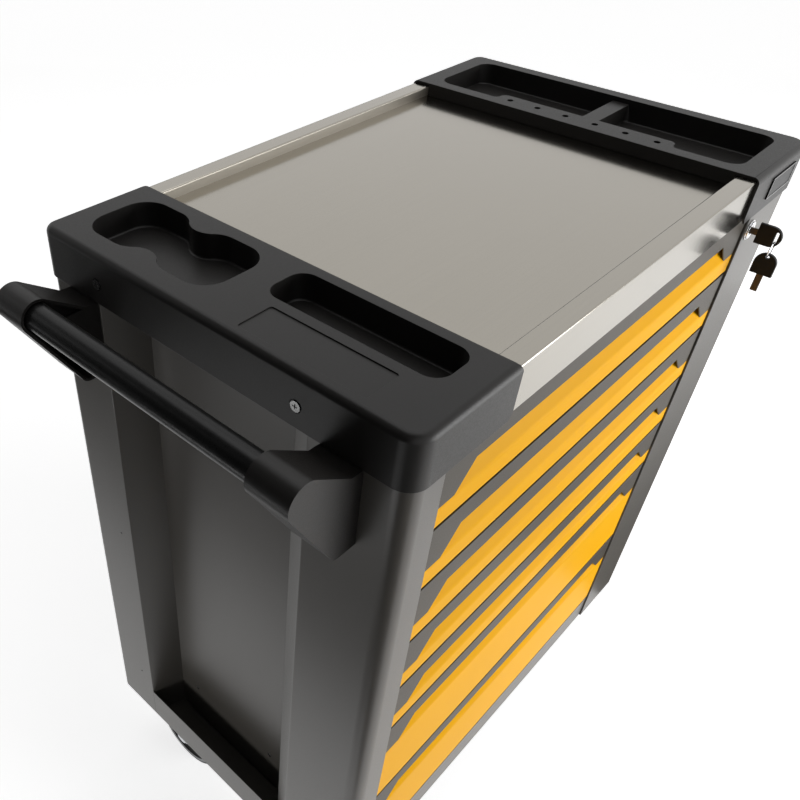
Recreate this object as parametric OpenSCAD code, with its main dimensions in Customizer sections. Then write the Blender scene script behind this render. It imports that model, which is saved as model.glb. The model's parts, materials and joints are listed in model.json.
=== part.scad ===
// Rolling tool cabinet: steel body, seven drawers on telescopic slides, stainless worktop
// between two moulded caps, side handle, central lock and four casters.
// X runs along the front to the right, Y to the back, Z up; the floor is at Z = 0.

/* [Body] */
// Depth of the steel body, front of the posts to the back
body_depth = 457; // [430:1:500]
// Width of the narrow left post
left_post_w = 45; // [40:1:60]
// Width of the wide right column
right_post_w = 120; // [100:1:140]
// Depth of the front posts along the sides
post_depth = 124; // [115:1:150]
// Flat part of a front post's side, up to its bevelled rear edge
post_side = 102; // [96:1:110]
// How far the bevelled rear edge steps in
post_bevel = 10; // [5:1:20]
// Radius of the posts' outer front corners
post_corner_r = 18; // [12:1:24]
// Width of the rear posts on the cabinet's sides
rear_post_w = 81; // [75:1:110]
// How far forward the rear posts' inner edge leans
rear_post_lean = 18; // [0:1:25]
// Radius of the rear corners
rear_corner_r = 12; // [6:1:20]
// Sheet thickness of the body
sheet_t = 1.5; // [1:0.1:2.5]
// Thickness of the base plate
base_t = 2; // [1.5:0.5:4]
// Inset of the base plate from the body's outer faces
base_inset = 3; // [2:0.5:6]
// Height of the rail below the lowest drawer
base_h = 50; // [25:1:60]
// Height of the lip of the side ledges
ledge_lip = 58; // [30:1:80]
// Height of the floor of the side ledges above the base plate
ledge_floor = 6; // [3:1:15]
// Width of the slit between a ledge's floor and its panel
ledge_slit = 1.6; // [1:0.1:3]

/* [Drawers] */
// Width of a drawer front
front_w = 595; // [500:1:650]
// Height of one small drawer with its gap
small_pitch = 78; // [72:0.1:90]
// Height of one large drawer with its gap
large_pitch = 157; // [110:0.1:180]
// Gap between two drawer fronts
front_gap = 3.2; // [2:0.1:5]
// How far the top drawer's front ends short of its row, below the caps
top_trim = 2.5; // [0:0.5:4]
// Gap between a drawer front and the post beside it
post_gap = 1.5; // [1:0.1:3]
// How far the drawer fronts sit behind the posts
front_setback = 2.5; // [2:0.1:5]
// Sheet thickness of a drawer front
front_t = 1.5; // [1:0.1:2]
// Height of the grip strip
strip_h = 24.5; // [16:0.5:26]
// Height of the finger gap between the strip and the flat band below it
finger_gap = 27; // [22:0.5:30]
// Depth of the finger recess behind the strip
recess_d = 15; // [12:0.5:18]
// Thickness of the grip plate
grip_t = 2; // [1.2:0.1:3]
// Width of a grip's end tab at its foot
tab_low_w = 25.5; // [15:0.5:35]
// Width of a grip's end tab at the strip
tab_high_w = 50; // [36:0.5:70]
// Sheet thickness of a drawer box
box_t = 1.2; // [0.8:0.1:2]
// Height of a box's floor above the foot of its front
box_lift = 4; // [2:0.5:8]
// Height left free above a box
box_drop = 10; // [7:0.5:14]
// Space between the boxes and the back panel
box_back_gap = 20; // [12:1:40]
// How far a drawer pulls out
drawer_travel = 380; // [300:5:385]

/* [Slides] */
// Space for a slide between a box and the side panel
slide_gap = 13; // [12:0.1:16]
// Height of a slide's outer channel
slide_h = 38; // [32:1:42]
// Sheet thickness of the slide members
slide_t = 1.2; // [1:0.1:1.6]
// Length of a slide
slide_len = 394; // [390:1:400]
// Clearance between slide members
slide_clear = 0.35; // [0.3:0.05:0.6]
// Height of a slide's lower edge above the box's floor
slide_rise = 9; // [5:1:12]

/* [Worktop] */
// Height of the worktop's front and rear face
apron_h = 49; // [40:1:55]
// Gap between the worktop and the top drawer
apron_gap = 1.5; // [1.5:0.1:4]
// Width of the front and rear rims
rim_w = 22; // [18:1:30]
// Depth of the worktop's tray below the rims
tray_drop = 12.3; // [8:0.1:20]
// Sheet thickness of the worktop
worktop_t = 1.2; // [0.8:0.1:2]
// Length of worktop hidden under each cap
worktop_lap = 10; // [6:1:11]
// Depth of the top rails under the rims
top_rail_d = 16; // [12:1:17]

/* [Caps] */
// How far the caps stand out over the body
cap_overhang = 2.5; // [1.2:0.1:2.6]
// Wall of the moulded caps
cap_wall = 3; // [2.7:0.1:3.5]
// Gap between the caps' lower edge and the top drawer
cap_gap = 0.6; // [0.4:0.1:1.5]
// Height of the caps above the worktop's rims
cap_rise = 3.5; // [3.4:0.1:8]
// Width of the left cap
left_cap_w = 133; // [132:1:150]
// Width of the right cap
right_cap_w = 157; // [151:1:175]
// Depth of the wells and trays
well_depth = 28; // [20:1:34]
// Width of the two-lobed well
lobe_w = 86; // [70:1:90]
// Length of each lobe
lobe_len = 81; // [76:1:90]
// Corner radius of the lobes
lobe_r = 28; // [20:1:36]
// Width of the neck between the lobes
neck_w = 57; // [40:1:64]
// Length of the long well
long_well_len = 186; // [150:1:190]
// Width of the long well
long_well_w = 52; // [40:1:53]
// Corner radius of the long well
long_well_r = 17; // [8:1:20]
// Width of the shallow label recess
label_w = 41; // [30:1:45]
// Length of the shallow label recess
label_len = 136; // [100:1:150]
// Depth of the shallow label recess
label_drop = 1.2; // [0.6:0.1:1.6]
// Rim between the right cap's trays and the worktop
tray_rim_in = 18; // [16:1:22]
// Rim on the outer side of the right cap's trays
tray_rim_out = 24; // [20:1:28]
// Rim in front of and behind the trays
tray_rim_end = 29; // [26:1:34]
// Corner radius of the trays
tray_r = 18; // [10:1:20]
// Width of the divider between the two trays
divider_w = 22; // [14:1:30]
// Top of the divider below the top of the cap
divider_drop = 6; // [3:0.5:12]
// Width of the strip with tool holes, measured into the tray
tool_strip_w = 17; // [15:1:30]
// Diameter of the tool holes
tool_hole_d = 8; // [7:0.5:9]
// Spacing of the tool holes
tool_hole_pitch = 39.4; // [30:0.1:42]
// Length of the blank nameplate
plate_w = 70; // [50:1:80]
// Height of the blank nameplate
plate_h = 25; // [18:1:30]
// Thickness of the nameplate
plate_t = 2; // [1.2:0.1:3]

/* [Handle] */
// Diameter of the handle tube
bar_d = 28; // [20:0.5:28]
// Wall of the handle tube
bar_wall = 2; // [1.2:0.1:3]
// Distance of the tube's axis from the cabinet's side
handle_out = 66.5; // [55:0.5:75]
// Depth of the tube's axis below the top of the caps
handle_drop = 43; // [40:0.5:48]
// Radius of a bracket's nose round the tube
nose_r = 18.5; // [17.5:0.1:22]
// Length of a bracket along the tube
bracket_len = 44; // [36:1:48]
// Height of a bracket below the tube's axis
bracket_below = 97; // [85:1:120]
// Wall of the brackets
bracket_wall = 3; // [2.4:0.1:3.5]

/* [Lock] */
// Height of the lock below the top of the caps
lock_drop = 78; // [70:1:90]
// Distance of the lock from the inner edge of the right column
lock_in = 15.5; // [15:0.5:18]
// Diameter of the lock's rosette
rosette_d = 24; // [20:1:26]
// Diameter of the lock's barrel
barrel_d = 18; // [16:0.5:19]
// Diameter of the lock's plug
plug_d = 11; // [10:0.5:12]
// Length of the key's bow
bow_len = 27; // [24:1:30]
// Height of the key's bow
bow_w = 24.6; // [23:0.2:28]
// Thickness of the key's bow
bow_t = 4.4; // [4:0.2:5]
// Visible length of the key's blade between the lock and the bow
blade_gap = 7; // [5:0.5:12]
// Radius of the key ring, to the middle of its wire
ring_r = 9; // [8.6:0.1:10]
// Diameter of the key ring's wire
ring_wire = 1.5; // [1:0.1:1.8]

/* [Casters] */
// Wheel diameter
wheel_d = 125; // [100:1:127]
// Wheel width
wheel_w = 32; // [26:1:36]
// Height of the body's base above the floor
caster_h = 152; // [150:1:170]
// Axle diameter
axle_d = 12; // [8:0.5:14]
// Offset of the wheel behind the swivel axis
trail = 38; // [34:1:44]
// Side of the square caster plates
caster_plate = 88; // [80:1:96]
// Thickness of the caster plates
caster_plate_t = 3; // [2.5:0.5:4]
// Thickness of the fork legs
fork_t = 3; // [2.5:0.5:4]
// Gap between wheel and fork leg
fork_gap = 2.5; // [2:0.5:4]

/* [Hidden] */
$fn = 64;
small_rows = 5;
rows = 7;
fit = 0.05;        // radial clearance of pins in their bores
seat = 0.3;        // clearance between moulded pieces and what they sit on
over = 1;          // how far a cut runs past a face

steel_grey = "#5f5d5b";
yellow = "#ffbf3a";
grip_grey = "#6a6764";
black = "#2b2a29";
stainless = "#b4b2ab";
zinc = "#c9ccd0";
tyre_black = "#1f1f20";

// Heights and widths of the body
base_z = caster_h + base_t;
stack_bottom = base_z + base_h;
function pitch(i) = i < small_rows ? small_pitch : large_pitch;
function depth_to(i) = i < 0 ? 0 : pitch(i) + depth_to(i - 1);
stack_top = stack_bottom + depth_to(rows - 1);
apron_bottom = stack_top - top_trim + apron_gap;
rim_top = apron_bottom + apron_h;
cap_top = rim_top + cap_rise;
cap_bottom = stack_top - top_trim - front_gap / 2 + cap_gap;
cap_h = cap_top - cap_bottom;
panel_top = cap_top - well_depth - cap_wall;
bay_w = front_w + 2 * post_gap;
bay_left = left_post_w;
bay_right = left_post_w + bay_w;
body_w = left_post_w + bay_w + right_post_w;
wall_left = bay_left + sheet_t;
wall_right = bay_right - sheet_t;
panel_front = 34;          // front edge of the side panels
return_y = body_depth - rear_post_w;

// Drawers
front_x = bay_left + post_gap;
box_left = wall_left + slide_gap;
box_right = wall_right - slide_gap;
front_back = front_setback + recess_d + front_t;
box_back = body_depth - sheet_t - box_back_gap;
slide_front = 40;          // front end of the slides
function front_z(i) = stack_top - depth_to(i) + front_gap / 2;
function front_h(i) = pitch(i) - front_gap - (i == 0 ? top_trim : 0);
function band_h(i) = pitch(i) - front_gap - strip_h - finger_gap;
function box_h(i) = front_h(i) - box_lift - box_drop;
function slide_z(i) = front_z(i) + box_lift + slide_rise;
catch_y = 30.5;            // front of the catches on the boxes
catch_len = 9;
catch_h = 10;
catch_rise = box_lift + slide_rise + slide_h; // height of the catches above the foot of a front

// Worktop
skirt_in = cap_wall - cap_overhang;
worktop_y = skirt_in + seat;
worktop_end = body_depth - worktop_y;
floor_top = rim_top - tray_drop;
lap_sink = worktop_t / 3;
worktop_left = left_cap_w - cap_overhang - worktop_lap;
worktop_right = body_w + cap_overhang - right_cap_w + worktop_lap;

// Caps
cap_depth = body_depth + 2 * cap_overhang;
cap_front_r = post_corner_r + cap_overhang;
cap_rear_r = rear_corner_r + cap_overhang;
lobe_x = 71;               // middle of the two-lobed well
lobe_rear_gap = 30;        // rim behind the rear lobe
lobe_spacing = 98;
lobe_front = cap_depth - lobe_rear_gap - lobe_len / 2 - lobe_spacing;
long_well_front = 33;
long_well_left = 66;
label_left = 13;
label_front = 60;
label_r = 3;
screw_d = 4;
screw_head_d = 10.5;
screw_pocket_d = 13;
screw_pocket = 1.4;
screw_drop = 32.5;           // screws below the top of the caps
screw_y = [post_side + 12, return_y - 3.5];
tab_reach = 24;            // half-length of the tabs that the cap screws hold
tab_foot = 18;
tab_rise = 32;
tool_holes = 6;
tool_hole_in = 20.5;
tool_strip_end = 18;       // strip beyond the first and last hole
tray_len = cap_depth - 2 * tray_rim_end;
tool_first = (cap_depth - (tool_holes - 1) * tool_hole_pitch) / 2 - 7;
divider_y = (cap_depth - divider_w) / 2 - 7;
plate_right = 36;          // from the cap's right face to the nameplate
plate_rim = 1.6;
skirt = min(cap_wall, cap_overhang - seat); // wall of the caps outside the body
end_cut = [6, 8];           // corner cut off the lower inner end of the caps' skirts
plate_sink = 0.6;

// Handle
handle_z = cap_top - handle_drop;
bracket_gap = 1;           // between the caps' lower edge and the brackets
bracket_lip = handle_drop - cap_h - bracket_gap;
bracket_kink = [52, bracket_lip + 1]; // end of the bracket's sloping top, from the tube's axis
bracket_foot_r = 12;
bracket_foot_x = 46;
front_bracket_y = post_corner_r + 26;
rear_bracket_y = return_y + 2;
socket_len = 14;
web_tip = bar_d / 2 + 12;  // tip of the web across the brackets' open side, from the tube's axis
web_low = bracket_below - 2 * bracket_foot_r;
socket_wall = 2.5;
bolt_d = 6;
bolt_head_d = 10;
bolt_head = 3.5;
bolt_bite = 2.4;
bolt_z = [handle_drop - cap_h - tab_foot - bolt_head_d / 2 - 1, -82];

// Lock
lock_x = bay_right + lock_in;
lock_z = cap_top - lock_drop;
rosette_t = 3;
barrel_len = 20;
cam_t = 2.5;
cam_y = sheet_t + barrel_len + 2;
cam_pin_d = 4;
cam_r = 8.5;
cam_rest = 45;             // the cam rests this far above level
bar_y = cam_y + cam_t + 0.5;
bar_t = 2;
bar_drop = 2 * cam_r * sin(cam_rest);
bar_x = bay_right + sheet_t + 1.5;
bar_w = 8;
finger_tip = wall_right - 6.5;
finger_h = 5;
finger_above = 1.5;        // fingers rest this far above the catches
catch_tip = finger_tip + 2.5;
bow_y = rosette_t + blade_gap;
key_reach = bow_y + bow_len;
slot_w = 3.3;
slot_len = 15;
slot_wall = 4.3;           // from the bow's round end to the slot
slot_y = bow_y + bow_len - slot_wall - slot_w / 2;
// The ring hangs round the bar of material between the slot and the bow's edge, at hang_z
bow_edge = sqrt(pow(bow_w / 2, 2) - pow(bow_w / 2 - slot_wall - slot_w / 2, 2));
hang_bar = bow_edge - slot_len / 2;
hang_z = lock_z - slot_len / 2 - hang_bar / 2;
hang_r = norm([bow_t / 2, hang_bar / 2 + ring_wire / 2]);
ring_z = hang_z + hang_r + ring_wire / 2 + seat - ring_r;
spare_hole_d = 4.4;
spare_sag = ring_r - sqrt(pow(ring_r, 2) - pow(bow_t / 2, 2));
spare_z = ring_z - ring_r + spare_sag + ring_wire / 2 + seat - spare_hole_d / 2;
blade_w = 7.5;
blade_t = 2.2;

// Casters
axle_z = wheel_d / 2;
swivel_x = 55;
swivel_inset = 62;
fixed_x = body_w - 105;
fixed_inset = 48;
swivel_y = [swivel_inset, body_depth - swivel_inset];
fixed_y = [fixed_inset, body_depth - fixed_inset];
trail_dir = [1, -1];       // the front wheel trails back, the rear one forward
race_d = 62;
race_h = 8;
crown_d = 58;
crown_h = 9;
kingpin_d = 14;
kingpin_head_d = 20;
kingpin_head = 3;
race_z = caster_h - caster_plate_t - race_h;
crown_top = race_z - seat;
crown_z = crown_top - crown_h;
leg_in = wheel_w / 2 + fork_gap;
leg_out = leg_in + fork_t;
leg_foot_r = 16;
axle_head_d = 20;
axle_head = 4;
tyre_t = 14;
tyre_round = 8;
hub_d = 34;
web_t = 10;
pedal_pin_d = 6;
pedal_pivot = [trail + 31, wheel_d + 1]; // along the trail and up
pedal_len = 40;
pedal_t = 4;
pedal_tilt = 20;
pedal_w = 2 * leg_in - 2 * fork_gap;
pedal_boss_d = 12;

// Middle of the object's own box
frame_x = (body_w + cap_overhang - handle_out - nose_r) / 2;
front_reach = max(key_reach, slot_y + bow_w / 2);
frame_y = (body_depth + cap_overhang - front_reach) / 2;

module in_frame() {
    translate([-frame_x, -frame_y, 0]) children();
}

module on_right() {
    translate([body_w, 0, 0]) mirror([1, 0, 0]) children();
}

module rounded_rect(w, d, r) {
    translate([r, 0]) square([w - 2 * r, d]);
    translate([0, r]) square([w, d - 2 * r]);
    for (x = [r, w - r], y = [r, d - r]) translate([x, y]) circle(r);
}

// A cylinder along X that starts at the given point
module x_cylinder(at, d, len) {
    translate(at) rotate([0, 90, 0]) cylinder(d = d, h = len);
}

// A cylinder along Y that starts at the given point and runs to the back
module y_cylinder(at, d, len) {
    translate(at) rotate([-90, 0, 0]) cylinder(d = d, h = len);
}

// Outline of a front post, drawn in by g; its outer side is at x = 0
module post_outline(w, g) {
    run = [post_bevel, post_depth - post_side];
    n = [run[1], -run[0]] / norm(run);
    start = [0, post_side] + g * n;
    t_side = (g - start[0]) / run[0];
    t_rear = (post_depth - g - start[1]) / run[1];
    polygon([[post_corner_r, g], [w - g, g], [w - g, post_depth - g], start + t_rear * run,
             start + t_side * run, [g, post_corner_r], [post_corner_r, post_corner_r]]);
    intersection() {
        translate([post_corner_r, post_corner_r]) circle(post_corner_r - g);
        square(post_corner_r);
    }
}

// Folded sheet post, with the tab that a cap screw holds and the holes of the handle bolts
module front_post(w, handle_side) {
    difference() {
        union() {
            translate([0, 0, base_z]) linear_extrude(cap_bottom - base_z) difference() {
                post_outline(w, 0);
                post_outline(w, sheet_t);
            }
            cap_tab(post_side - 20, post_side - 4, screw_y[0]);
        }
        cap_tab_hole(screw_y[0]);
        if (handle_side) bolt_holes(front_bracket_y);
    }
}

// Tab inside a side's sheet that stands up into the cap, with its foot on the sheet
module cap_tab(foot_from, foot_to, y) {
    lo = min(foot_from, y - screw_pocket_d);
    hi = max(foot_to, y + screw_pocket_d);
    translate([sheet_t, foot_from, cap_bottom - tab_foot])
        cube([sheet_t, foot_to - foot_from, tab_foot + tab_rise]);
    translate([sheet_t, lo, cap_bottom + seat]) cube([sheet_t, hi - lo, tab_rise - seat]);
}

module cap_tab_hole(y) {
    x_cylinder([0, y, cap_top - screw_drop], screw_d + 2 * fit, sheet_t * 3);
}

module bolt_holes(y) {
    for (z = bolt_z)
        x_cylinder([-over, y + bracket_len / 2, handle_z + z], bolt_d + 2 * fit, sheet_t + 2 * over);
}

module front_left_post() {
    color(steel_grey) in_frame() front_post(left_post_w, true);
}

module front_right_post() {
    color(steel_grey) in_frame() difference() {
        union() {
            on_right() front_post(right_post_w, false);
            for (z = [front_z(0), front_z(rows - 1)]) bar_keeper(z);
        }
        y_cylinder([lock_x, -over, lock_z], barrel_d + 2 * fit, sheet_t + 2 * over);
        for (i = [0 : rows - 1]) finger_slot(i);
    }
}

// Guide behind the locking bar, on the column's inner wall
module bar_keeper(z) {
    translate([bay_right + sheet_t, bar_y + bar_t + seat, z]) cube([bar_w + 6, sheet_t, 20]);
}

// Slot in the column's inner wall that a finger of the locking bar moves in
module finger_slot(i) {
    translate([bay_right - over, bar_y - seat, finger_z(i) - bar_drop - seat])
        cube([sheet_t + 2 * over, bar_t + 2 * seat, finger_h + bar_drop + 2 * seat]);
}

function finger_z(i) = front_z(i) + catch_rise + catch_h + finger_above;

// Hollow rear post; its outer side is at x = 0 and the panel closes it at x = w
module rear_post_area(w, g) {
    lean = rear_post_lean / w;
    rise = g * sqrt(1 + lean * lean);
    r = rear_corner_r;
    polygon([[g, return_y - lean * g + rise], [w, return_y - rear_post_lean + rise], [w, body_depth - g],
             [r, body_depth - g], [r, body_depth - r], [g, body_depth - r]]);
    translate([r, body_depth - r]) circle(r - g);
}

// One side: the recessed panel that carries the slides, and the rear post behind it
module side_panel(w, handle_side) {
    panel_hole_d = 6.5;
    panel_hole_z = base_z + 80;
    post_hole_d = 3;
    post_hole_z = [base_z + 91, base_z + 399];
    difference() {
        union() {
            translate([w, panel_front, base_z])
                cube([sheet_t, body_depth - panel_front, panel_top - base_z]);
            translate([0, 0, base_z]) linear_extrude(cap_bottom - base_z) difference() {
                rear_post_area(w, 0);
                rear_post_area(w, sheet_t);
            }
            cap_tab(return_y + 4, return_y + tab_reach, screw_y[1]);
        }
        cap_tab_hole(screw_y[1]);
        if (handle_side) bolt_holes(rear_bracket_y);
        for (y = [post_depth + 50, return_y - rear_post_lean - 34])
            x_cylinder([w - over, y, panel_hole_z], panel_hole_d, sheet_t + 2 * over);
        for (z = post_hole_z)
            x_cylinder([-over, return_y + 23, z], post_hole_d, sheet_t + 2 * over);
    }
}

module left_side_panel() {
    color(steel_grey) in_frame() side_panel(left_post_w, true);
}

module right_side_panel() {
    color(steel_grey) in_frame() on_right() side_panel(right_post_w, false);
}

module back_panel() {
    color(steel_grey) in_frame()
        translate([wall_left, body_depth - sheet_t, base_z])
        cube([wall_right - wall_left, sheet_t, apron_bottom - seat - base_z]);
}

// Base plate under the whole body, and the folded rail below the lowest drawer
module base_pan() {
    rail_top = stack_bottom - front_gap / 2;
    rail_depth = 26;
    plate_x = body_w - 2 * base_inset;
    plate_y = body_depth - 2 * base_inset;
    color(steel_grey) in_frame() {
        translate([base_inset, base_inset, caster_h]) linear_extrude(base_t) {
            rounded_rect(plate_x, plate_y / 2, post_corner_r - base_inset);
            translate([0, post_corner_r])
                rounded_rect(plate_x, plate_y - post_corner_r, rear_corner_r - base_inset);
        }
        translate([bay_left, front_setback, base_z]) {
            cube([bay_w, sheet_t, rail_top - base_z]);
            translate([0, 0, rail_top - base_z - sheet_t]) cube([bay_w, rail_depth, sheet_t]);
        }
    }
}

// Rails under the worktop's front and rear rims, between the side panels
module top_rails() {
    color(steel_grey) in_frame()
        for (y = [worktop_y + worktop_t, worktop_end - worktop_t - top_rail_d])
            translate([wall_left, y, apron_bottom])
            cube([wall_right - wall_left, top_rail_d, apron_h - worktop_t]);
}

// Small tray at the foot of a side recess: outer lip and floor, with a slit along the panel
module ledge(w) {
    lean = rear_post_lean / w;
    y_front = post_depth + seat;
    y_rear = return_y - rear_post_lean - seat;
    flank = (post_depth - post_side) / post_bevel;
    translate([0, 0, base_z]) linear_extrude(ledge_lip)
        polygon([[0, post_side + 2 * seat], [sheet_t, post_side + flank * sheet_t + 2 * seat],
                 [sheet_t, return_y - lean * sheet_t - seat], [0, return_y - seat]]);
    translate([0, 0, base_z + ledge_floor]) linear_extrude(sheet_t) difference() {
        polygon([[sheet_t / 2, y_front], [w, y_front], [w, y_rear],
                 [sheet_t / 2, y_rear + rear_post_lean - lean * sheet_t / 2]]);
        translate([w - ledge_slit, y_front + 34]) square([ledge_slit + over, y_rear - y_front - 52]);
    }
}

module side_ledges() {
    color(steel_grey) in_frame() {
        ledge(left_post_w);
        on_right() ledge(right_post_w);
    }
}

// One half of the worktop's section: apron, rim, step and half of the tray floor
module worktop_half() {
    half = body_depth / 2 - worktop_y;
    translate([0, rim_top - apron_h]) square([worktop_t, apron_h]);
    translate([0, rim_top - worktop_t]) square([rim_w, worktop_t]);
    translate([rim_w - worktop_t, floor_top - worktop_t]) square([worktop_t, tray_drop + worktop_t]);
    translate([rim_w - worktop_t, floor_top - worktop_t]) square([half - rim_w + worktop_t + over, worktop_t]);
}

// The ends under the caps are pressed down a little, so the open part of the floor is a face of its own
module worktop() {
    lap = worktop_lap + seat;
    tray = worktop_end - worktop_y - 2 * rim_w;
    color(stainless) in_frame() difference() {
        translate([worktop_left, 0, 0]) rotate([90, 0, 90])
        linear_extrude(worktop_right - worktop_left) {
            translate([worktop_y, 0]) worktop_half();
            translate([worktop_end, 0]) mirror([1, 0]) worktop_half();
        }
        for (x = [worktop_left - over, worktop_right - lap])
            translate([x, worktop_y + rim_w, floor_top - lap_sink]) cube([lap + over, tray, lap_sink + over]);
    }
}

// Plan of a cap: rounded outer end at x = 0, straight end at x = w
module cap_outline(w, d, front_r, rear_r) {
    translate([front_r, 0]) square([w - front_r, d / 2]);
    translate([0, front_r]) square([w, d / 2 - front_r]);
    translate([front_r, front_r]) circle(front_r);
    translate([rear_r, d / 2]) square([w - rear_r, d / 2]);
    translate([0, d / 2]) square([w, d / 2 - rear_r]);
    translate([rear_r, d - rear_r]) circle(rear_r);
}

// Hollow under a cap, open below
module cap_hollow(w) {
    translate([skirt, skirt, -over]) linear_extrude(cap_h - cap_wall + over)
        cap_outline(w - skirt - cap_wall, cap_depth - 2 * skirt, cap_front_r - skirt, cap_rear_r - skirt);
}

// Room in a cap's straight end for the worktop's rims and tray
module worktop_room(w) {
    x = w - worktop_lap - 1;
    len = worktop_lap + 1 + over;
    rim = rim_w + seat;
    y0 = worktop_y + cap_overhang - seat;
    inside = cap_depth - 2 * y0;
    translate([x, y0, -over]) cube([len, inside, floor_top + seat - cap_bottom + over]);
    for (y = [y0, cap_depth - y0 - rim - seat])
        translate([x, y, -over]) cube([len, rim + seat, rim_top + seat - cap_bottom + over]);
}

// Clear hole for a cap screw and the round pocket for its head
module screw_seats() {
    for (y = screw_y) {
        x_cylinder([-over, y + cap_overhang, cap_h - screw_drop], screw_d + 2 * fit, cap_wall + 2 * over);
        x_cylinder([-over, y + cap_overhang, cap_h - screw_drop], screw_pocket_d, screw_pocket + over);
    }
}

// A cap: children are the outline of its wells and the same outline grown by the wall;
// blocks are boxes left solid in its hollow
module cap_body(w, blocks = []) {
    difference() {
        linear_extrude(cap_h) cap_outline(w, cap_depth, cap_front_r, cap_rear_r);
        difference() {
            cap_hollow(w);
            translate([0, 0, cap_h - well_depth - cap_wall]) linear_extrude(cap_h) children(1);
            for (b = blocks) translate(b[0]) cube(b[1]);
        }
        translate([0, cap_depth + over, 0]) rotate([90, 0, 0]) linear_extrude(cap_depth + 2 * over)
            polygon([[w - end_cut[0], 0], [w - end_cut[0], -over], [w + over, -over], [w + over, end_cut[1]],
                     [w, end_cut[1]]]);
        translate([0, 0, cap_h - well_depth]) linear_extrude(cap_h) children(0);
        worktop_room(w);
        screw_seats();
    }
}

module left_wells(g) {
    a = neck_w / 2 - lobe_w / 2 + lobe_r;
    b = lobe_spacing / 2 - lobe_len / 2 + lobe_r;
    bite = 0.5; // the waist's arcs run a little into the lobes' corners, so that they cross them
    waist_r = (a * a + b * b - lobe_r * lobe_r) / (2 * (lobe_r - a)) + bite;
    share = (lobe_r + g) / norm([a + waist_r, b]);
    neck = [lobe_w / 2 - lobe_r + share * (a + waist_r), b - share * b + 4 * bite];
    for (k = [0, 1])
        translate([lobe_x - lobe_w / 2 - g, lobe_front + k * lobe_spacing - lobe_len / 2 - g])
        rounded_rect(lobe_w + 2 * g, lobe_len + 2 * g, lobe_r + g);
    translate([lobe_x, lobe_front + lobe_spacing / 2]) difference() {
        translate(-neck) square(2 * neck);
        for (s = [-1, 1]) translate([s * (neck_w / 2 + waist_r), 0]) circle(waist_r - g);
    }
    translate([long_well_left - g, long_well_front - g])
        rounded_rect(long_well_w + 2 * g, long_well_len + 2 * g, long_well_r + g);
}

module left_cap() {
    color(black) in_frame() translate([-cap_overhang, -cap_overhang, cap_bottom]) difference() {
        cap_body(left_cap_w) {
            left_wells(0);
            left_wells(cap_wall);
        }
        translate([label_left, label_front, cap_h - label_drop]) linear_extrude(cap_h)
            rounded_rect(label_w, label_len, label_r);
    }
}

// Both trays of the right cap as one outline, less the divider and the strip with the tool holes;
// x = 0 is the cap's outer end
module right_wells(g) {
    w = right_cap_w - tray_rim_in - tray_rim_out;
    strip_len = (tool_holes - 1) * tool_hole_pitch + 2 * tool_strip_end;
    strip_front = tool_first - tool_strip_end;
    difference() {
        translate([tray_rim_out - g, tray_rim_end - g])
            rounded_rect(w + 2 * g, tray_len + 2 * g, tray_r + g);
        translate([0, divider_y + g]) square([right_cap_w, divider_w - 2 * g]);
        translate([right_cap_w - tray_rim_in - tool_strip_w + g, strip_front + g])
            rounded_rect(tool_strip_w * 2, strip_len - 2 * g, tool_strip_w / 2);
    }
}

module right_cap() {
    dip = [right_cap_w - tray_rim_in - tool_strip_w - tray_rim_out, divider_w, divider_drop];
    dip_at = [tray_rim_out, divider_y, cap_h - divider_drop];
    under = [cap_wall, 0, cap_wall];
    color(black) in_frame() on_right() translate([-cap_overhang, -cap_overhang, cap_bottom]) difference() {
        cap_body(right_cap_w, [[dip_at - under, dip + [2 * cap_wall, 0, cap_wall]]]) {
            right_wells(0);
            right_wells(cap_wall);
        }
        translate(dip_at - [0, over, 0]) cube(dip + [0, 2 * over, over]);
        for (k = [0 : tool_holes - 1])
            translate([right_cap_w - tool_hole_in, tool_first + k * tool_hole_pitch, 0])
            cylinder(d = tool_hole_d, h = cap_h + over);
    }
}

// Cross-head screws through the outer walls of the caps
module cap_screw(y) {
    head_t = 2.2;
    cross = [head_t, 5.4, 1.1];
    translate([screw_pocket - cap_overhang, y, cap_top - screw_drop]) {
        difference() {
            x_cylinder([-head_t, 0, 0], screw_head_d, head_t);
            for (a = [0, 90]) rotate([a, 0, 0])
                translate([-head_t - over, -cross[1] / 2, -cross[2] / 2])
                cube([over + head_t / 2, cross[1], cross[2]]);
        }
        x_cylinder([-head_t / 4, 0, 0], screw_d, cap_wall - screw_pocket + sheet_t + 3);
    }
}

module cap_screws() {
    color(zinc) in_frame() for (y = screw_y) {
        cap_screw(y);
        on_right() cap_screw(y);
    }
}

// Blank plate on the front of the right cap, with a raised edge
module nameplate() {
    x = body_w + cap_overhang - plate_right - plate_w;
    z = cap_top - 15 - plate_h;
    color(black) in_frame() translate([x, -cap_overhang - plate_t, z]) difference() {
        cube([plate_w, plate_t, plate_h]);
        translate([plate_rim, -over, plate_rim])
            cube([plate_w - 2 * plate_rim, plate_sink + over, plate_h - 2 * plate_rim]);
    }
}

// Point where a line from k touches the circle of radius r round the origin
function touch(k, r, side) =
    let (turn = acos(r / norm(k)), a = atan2(k[1], k[0]) + side * turn) [r * cos(a), r * sin(a)];

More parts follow.
